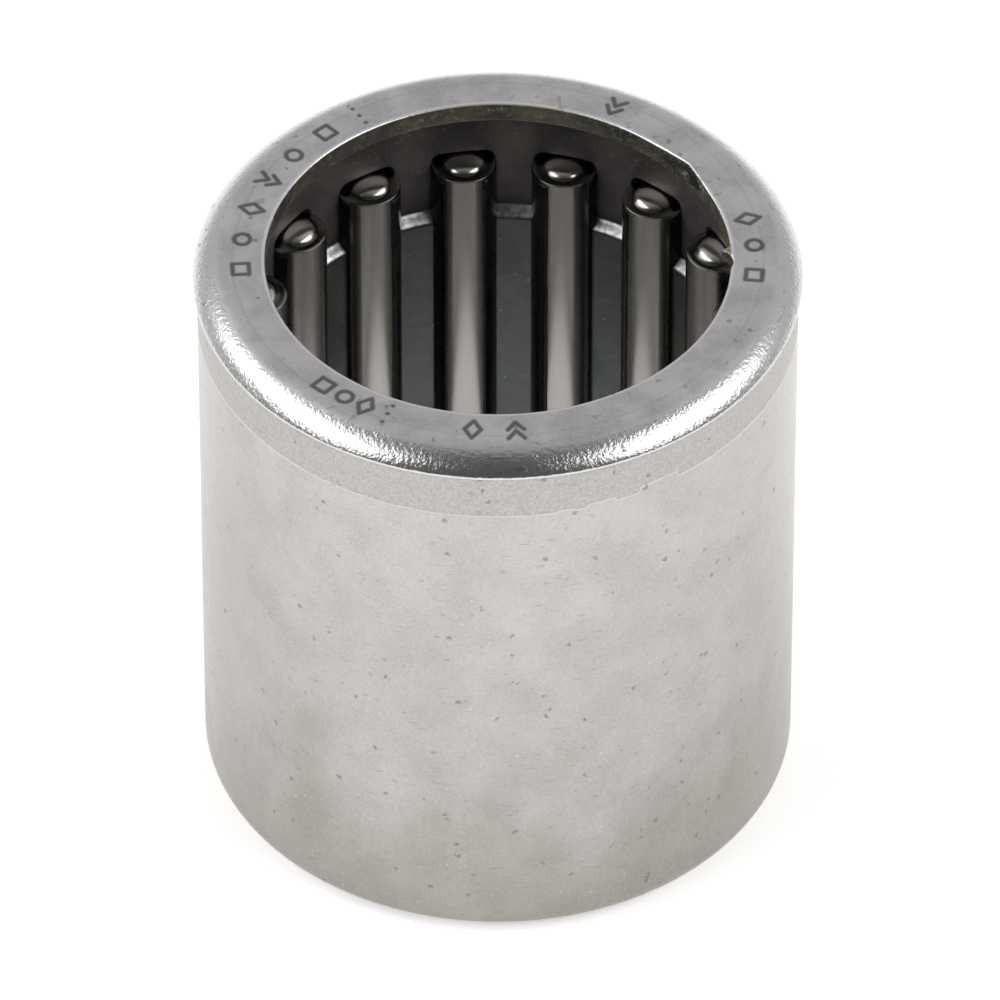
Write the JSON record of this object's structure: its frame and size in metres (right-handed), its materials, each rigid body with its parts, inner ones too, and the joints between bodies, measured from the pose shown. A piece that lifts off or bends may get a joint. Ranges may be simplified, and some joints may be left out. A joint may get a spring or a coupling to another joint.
{
  "type": "drawn cup needle roller bearing",
  "caption": "Open-ended drawn cup needle roller bearing: thin steel outer ring with turned-in lips, a pressed sheet cage and loose needle rollers that carry a plain shaft.",
  "frame": {"origin": "centre of the bearing, on its axis, halfway between its two end faces", "axes": "+Z along the bearing's axis, out of the stamped end of the drawn cup; +X and +Y across the axis"},
  "size_m": [0.0142, 0.0142, 0.015],
  "materials": {
    "cup_steel": "satin tumbled steel, rough on the stamped end and its shoulder",
    "cage_steel": "dark, slightly oily sheet steel",
    "needle_steel": "ground and polished bearing steel"
  },
  "bodies": {
    "cup": {"drawn_cup": "cup_steel"},
    "cage": {"needle_cage": "cage_steel"},
    "needle_01": {"needle_01": "needle_steel"},
    "needle_02": {"needle_02": "needle_steel"},
    "needle_03": {"needle_03": "needle_steel"},
    "needle_04": {"needle_04": "needle_steel"},
    "needle_05": {"needle_05": "needle_steel"},
    "needle_06": {"needle_06": "needle_steel"},
    "needle_07": {"needle_07": "needle_steel"},
    "needle_08": {"needle_08": "needle_steel"},
    "needle_09": {"needle_09": "needle_steel"},
    "needle_10": {"needle_10": "needle_steel"},
    "needle_11": {"needle_11": "needle_steel"},
    "needle_12": {"needle_12": "needle_steel"},
    "needle_13": {"needle_13": "needle_steel"},
    "needle_14": {"needle_14": "needle_steel"},
    "needle_15": {"needle_15": "needle_steel"}
  },
  "joints": [
    {"name": "cage_spin", "type": "hinge", "parent": "cup", "child": "cage", "pos_m": [0, 0, 0], "axis": [0, 0, 1], "continuous": true},
    {"name": "needle_01_spin", "type": "hinge", "parent": "cage", "child": "needle_01", "pos_m": [0.00575, 0.00021, 0], "axis": [0, 0, 1], "continuous": true},
    {"name": "needle_02_spin", "type": "hinge", "parent": "cage", "child": "needle_02", "pos_m": [0.00517, 0.00253, 0], "axis": [0, 0, 1], "continuous": true},
    {"name": "needle_03_spin", "type": "hinge", "parent": "cage", "child": "needle_03", "pos_m": [0.00369, 0.00442, 0], "axis": [0, 0, 1], "continuous": true},
    {"name": "needle_04_spin", "type": "hinge", "parent": "cage", "child": "needle_04", "pos_m": [0.00158, 0.00553, 0], "axis": [0, 0, 1], "continuous": true},
    {"name": "needle_05_spin", "type": "hinge", "parent": "cage", "child": "needle_05", "pos_m": [-0.00081, 0.0057, 0], "axis": [0, 0, 1], "continuous": true},
    {"name": "needle_06_spin", "type": "hinge", "parent": "cage", "child": "needle_06", "pos_m": [-0.00306, 0.00488, 0], "axis": [0, 0, 1], "continuous": true},
    {"name": "needle_07_spin", "type": "hinge", "parent": "cage", "child": "needle_07", "pos_m": [-0.00478, 0.00321, 0], "axis": [0, 0, 1], "continuous": true},
    {"name": "needle_08_spin", "type": "hinge", "parent": "cage", "child": "needle_08", "pos_m": [-0.00567, 0.00099, 0], "axis": [0, 0, 1], "continuous": true},
    {"name": "needle_09_spin", "type": "hinge", "parent": "cage", "child": "needle_09", "pos_m": [-0.00558, -0.0014, 0], "axis": [0, 0, 1], "continuous": true},
    {"name": "needle_10_spin", "type": "hinge", "parent": "cage", "child": "needle_10", "pos_m": [-0.00453, -0.00355, 0], "axis": [0, 0, 1], "continuous": true},
    {"name": "needle_11_spin", "type": "hinge", "parent": "cage", "child": "needle_11", "pos_m": [-0.00269, -0.00509, 0], "axis": [0, 0, 1], "continuous": true},
    {"name": "needle_12_spin", "type": "hinge", "parent": "cage", "child": "needle_12", "pos_m": [-0.00039, -0.00574, 0], "axis": [0, 0, 1], "continuous": true},
    {"name": "needle_13_spin", "type": "hinge", "parent": "cage", "child": "needle_13", "pos_m": [0.00198, -0.0054, 0], "axis": [0, 0, 1], "continuous": true},
    {"name": "needle_14_spin", "type": "hinge", "parent": "cage", "child": "needle_14", "pos_m": [0.004, -0.00413, 0], "axis": [0, 0, 1], "continuous": true},
    {"name": "needle_15_spin", "type": "hinge", "parent": "cage", "child": "needle_15", "pos_m": [0.00534, -0.00215, 0], "axis": [0, 0, 1], "continuous": true}
  ],
  "couplings": [
    {"joint": "needle_01_spin", "follows": "cage_spin", "ratio": -8.7067},
    {"joint": "needle_02_spin", "follows": "cage_spin", "ratio": -8.7067},
    {"joint": "needle_03_spin", "follows": "cage_spin", "ratio": -8.7067},
    {"joint": "needle_04_spin", "follows": "cage_spin", "ratio": -8.7067},
    {"joint": "needle_05_spin", "follows": "cage_spin", "ratio": -8.7067},
    {"joint": "needle_06_spin", "follows": "cage_spin", "ratio": -8.7067},
    {"joint": "needle_07_spin", "follows": "cage_spin", "ratio": -8.7067},
    {"joint": "needle_08_spin", "follows": "cage_spin", "ratio": -8.7067},
    {"joint": "needle_09_spin", "follows": "cage_spin", "ratio": -8.7067},
    {"joint": "needle_10_spin", "follows": "cage_spin", "ratio": -8.7067},
    {"joint": "needle_11_spin", "follows": "cage_spin", "ratio": -8.7067},
    {"joint": "needle_12_spin", "follows": "cage_spin", "ratio": -8.7067},
    {"joint": "needle_13_spin", "follows": "cage_spin", "ratio": -8.7067},
    {"joint": "needle_14_spin", "follows": "cage_spin", "ratio": -8.7067},
    {"joint": "needle_15_spin", "follows": "cage_spin", "ratio": -8.7067}
  ]
}
